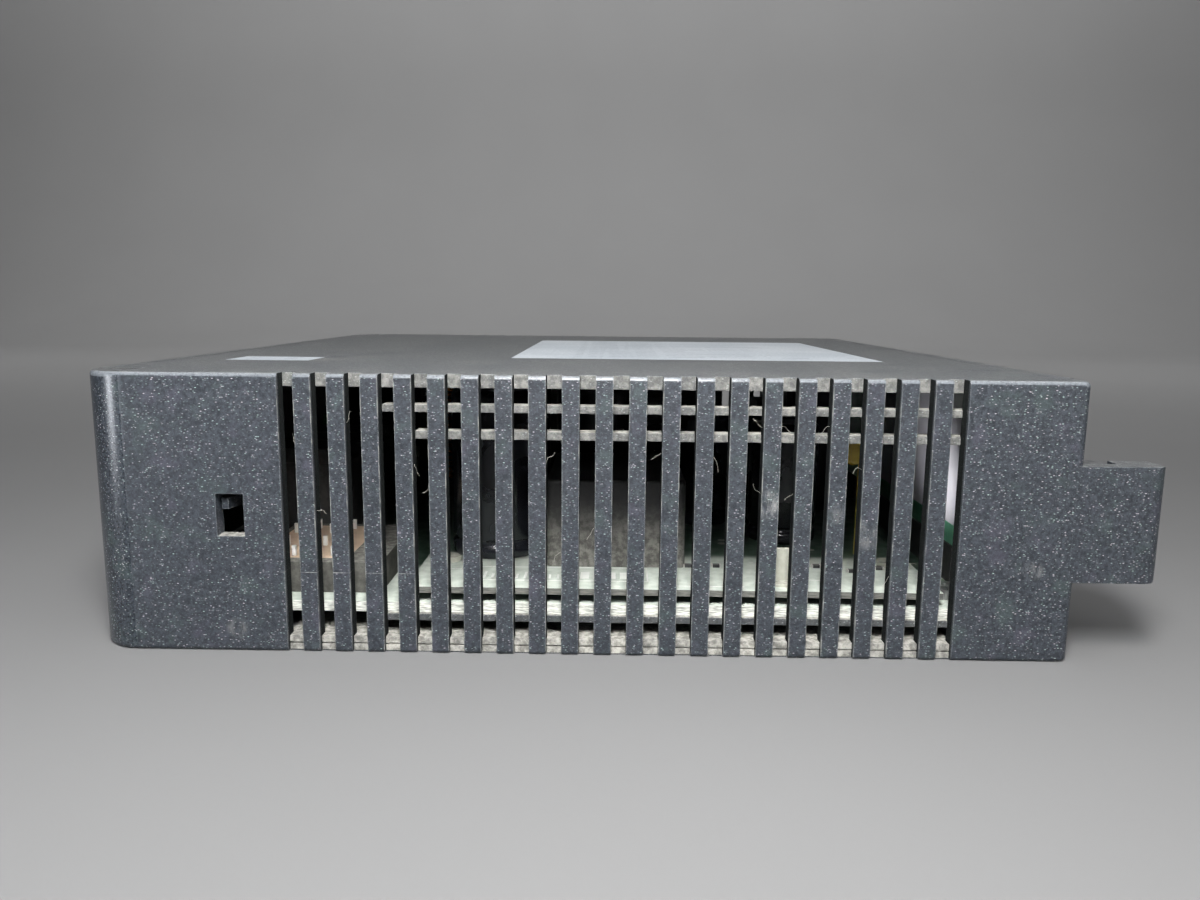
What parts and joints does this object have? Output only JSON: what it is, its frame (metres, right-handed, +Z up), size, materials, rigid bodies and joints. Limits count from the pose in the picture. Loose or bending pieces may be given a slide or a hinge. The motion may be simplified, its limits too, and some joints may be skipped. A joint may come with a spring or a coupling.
{
  "type": "rail mount power supply",
  "caption": "Slim charcoal power supply module for a 35 mm top-hat rail, lying on its side: slotted ends, stacked boards, sprung rail clamp, hinged terminal door.",
  "frame": {"origin": "middle of the whole box, on the side that it lies on", "axes": "+X from the front face to the rail side, +Y from the near end to the far end, +Z up through the thin side"},
  "size_m": [0.16, 0.156, 0.0422],
  "materials": {
    "case_plastic": "fine spark-eroded charcoal",
    "board_green": "solder resist",
    "board_pale": "dusty solder resist",
    "label_white": "satin label",
    "steel": "zinc plated",
    "tin": "tinned",
    "aluminium": "extruded",
    "black_plastic": "moulded",
    "grey_plastic": "moulded",
    "peach_plastic": "moulded",
    "potting": "potted",
    "sleeve": "shrink sleeve",
    "disc_lacquer": "dipped lacquer",
    "film_box": "moulded",
    "ferrite": "sintered",
    "copper_wire": "enamelled",
    "tape": "polyester tape",
    "glass": "clear",
    "cream_plastic": "moulded",
    "lilac_panel": "insulating sheet",
    "light_lens": "translucent",
    "terminal_plastic": "moulded",
    "trimmer_blue": "moulded",
    "rotor_white": "moulded"
  },
  "bodies": {
    "case": {"cover_lower": "case_plastic", "cover_upper": "case_plastic", "grille_near": "case_plastic", "grille_far": "case_plastic", "back_wall": "case_plastic", "front_bezel": "case_plastic", "rating_label": "label_white", "edge_label": "label_white", "rail_saddle": "black_plastic", "latch_spring": "steel", "case_screws": "steel", "board_screws": "steel", "main_board": "board_green", "upper_board": "board_pale", "rear_board": "board_green", "board_spacers": "cream_plastic", "stacking_header": "black_plastic", "rear_shield": "lilac_panel", "rear_connector": "grey_plastic", "rear_contacts": "tin", "board_clip": "cream_plastic", "header_body": "grey_plastic", "header_insert": "peach_plastic", "header_pins": "tin", "potted_module": "potting", "bulk_capacitors": "sleeve", "output_capacitors": "sleeve", "disc_capacitor": "disc_lacquer", "film_capacitor": "film_box", "bridge_rectifier": "black_plastic", "transformer_core": "ferrite", "transformer_bobbin": "black_plastic", "transformer_winding": "tape", "line_choke_core": "ferrite", "line_choke_windings": "copper_wire", "output_choke_core": "ferrite", "output_choke_winding": "copper_wire", "heat_sink_primary": "aluminium", "heat_sink_output": "aluminium", "power_transistors": "black_plastic", "fuse": "glass", "fuse_clips": "tin", "status_light": "light_lens", "trimmer_body": "trimmer_blue", "terminal_block": "terminal_plastic", "terminal_contacts": "tin"},
    "door": {"terminal_door": "case_plastic"},
    "latch": {"rail_latch": "black_plastic"},
    "trimmer": {"trimmer_rotor": "rotor_white"},
    "screw_1": {"terminal_screw_1": "steel"},
    "cage_1": {"terminal_cage_1": "tin"},
    "screw_2": {"terminal_screw_2": "steel"},
    "cage_2": {"terminal_cage_2": "tin"},
    "screw_3": {"terminal_screw_3": "steel"},
    "cage_3": {"terminal_cage_3": "tin"},
    "screw_4": {"terminal_screw_4": "steel"},
    "cage_4": {"terminal_cage_4": "tin"},
    "screw_5": {"terminal_screw_5": "steel"},
    "cage_5": {"terminal_cage_5": "tin"}
  },
  "joints": [
    {"name": "door_hinge", "type": "hinge", "parent": "case", "child": "door", "pos_m": [-0.0782, -0.0145, 0.0346], "axis": [0, 1, 0], "range_deg": [0, 105]},
    {"name": "latch_slide", "type": "slide", "parent": "case", "child": "latch", "axis": [0, -1, 0], "range_m": [0, 0.0035], "deforming": ["latch_spring"]},
    {"name": "trimmer_turn", "type": "hinge", "parent": "case", "child": "trimmer", "pos_m": [-0.0645, 0.049, 0.012], "axis": [1, 0, 0], "range_deg": [-135, 135]},
    {"name": "screw_turn_1", "type": "hinge", "parent": "case", "child": "screw_1", "pos_m": [-0.0655, -0.038, 0.015], "axis": [1, 0, 0], "range_deg": [0, 1080]},
    {"name": "cage_slide_1", "type": "slide", "parent": "case", "child": "cage_1", "axis": [-1, 0, 0], "range_m": [0, 0.0021]},
    {"name": "screw_turn_2", "type": "hinge", "parent": "case", "child": "screw_2", "pos_m": [-0.0655, -0.027, 0.015], "axis": [1, 0, 0], "range_deg": [0, 1080]},
    {"name": "cage_slide_2", "type": "slide", "parent": "case", "child": "cage_2", "axis": [-1, 0, 0], "range_m": [0, 0.0021]},
    {"name": "screw_turn_3", "type": "hinge", "parent": "case", "child": "screw_3", "pos_m": [-0.0655, -0.016, 0.015], "axis": [1, 0, 0], "range_deg": [0, 1080]},
    {"name": "cage_slide_3", "type": "slide", "parent": "case", "child": "cage_3", "axis": [-1, 0, 0], "range_m": [0, 0.0021]},
    {"name": "screw_turn_4", "type": "hinge", "parent": "case", "child": "screw_4", "pos_m": [-0.0655, -0.005, 0.015], "axis": [1, 0, 0], "range_deg": [0, 1080]},
    {"name": "cage_slide_4", "type": "slide", "parent": "case", "child": "cage_4", "axis": [-1, 0, 0], "range_m": [0, 0.0021]},
    {"name": "screw_turn_5", "type": "hinge", "parent": "case", "child": "screw_5", "pos_m": [-0.0655, 0.006, 0.015], "axis": [1, 0, 0], "range_deg": [0, 1080]},
    {"name": "cage_slide_5", "type": "slide", "parent": "case", "child": "cage_5", "axis": [-1, 0, 0], "range_m": [0, 0.0021]}
  ],
  "couplings": [
    {"joint": "screw_turn_1", "follows": "cage_slide_1", "rad_per_m": 8976},
    {"joint": "screw_turn_2", "follows": "cage_slide_2", "rad_per_m": 8976},
    {"joint": "screw_turn_3", "follows": "cage_slide_3", "rad_per_m": 8976},
    {"joint": "screw_turn_4", "follows": "cage_slide_4", "rad_per_m": 8976},
    {"joint": "screw_turn_5", "follows": "cage_slide_5", "rad_per_m": 8976}
  ]
}
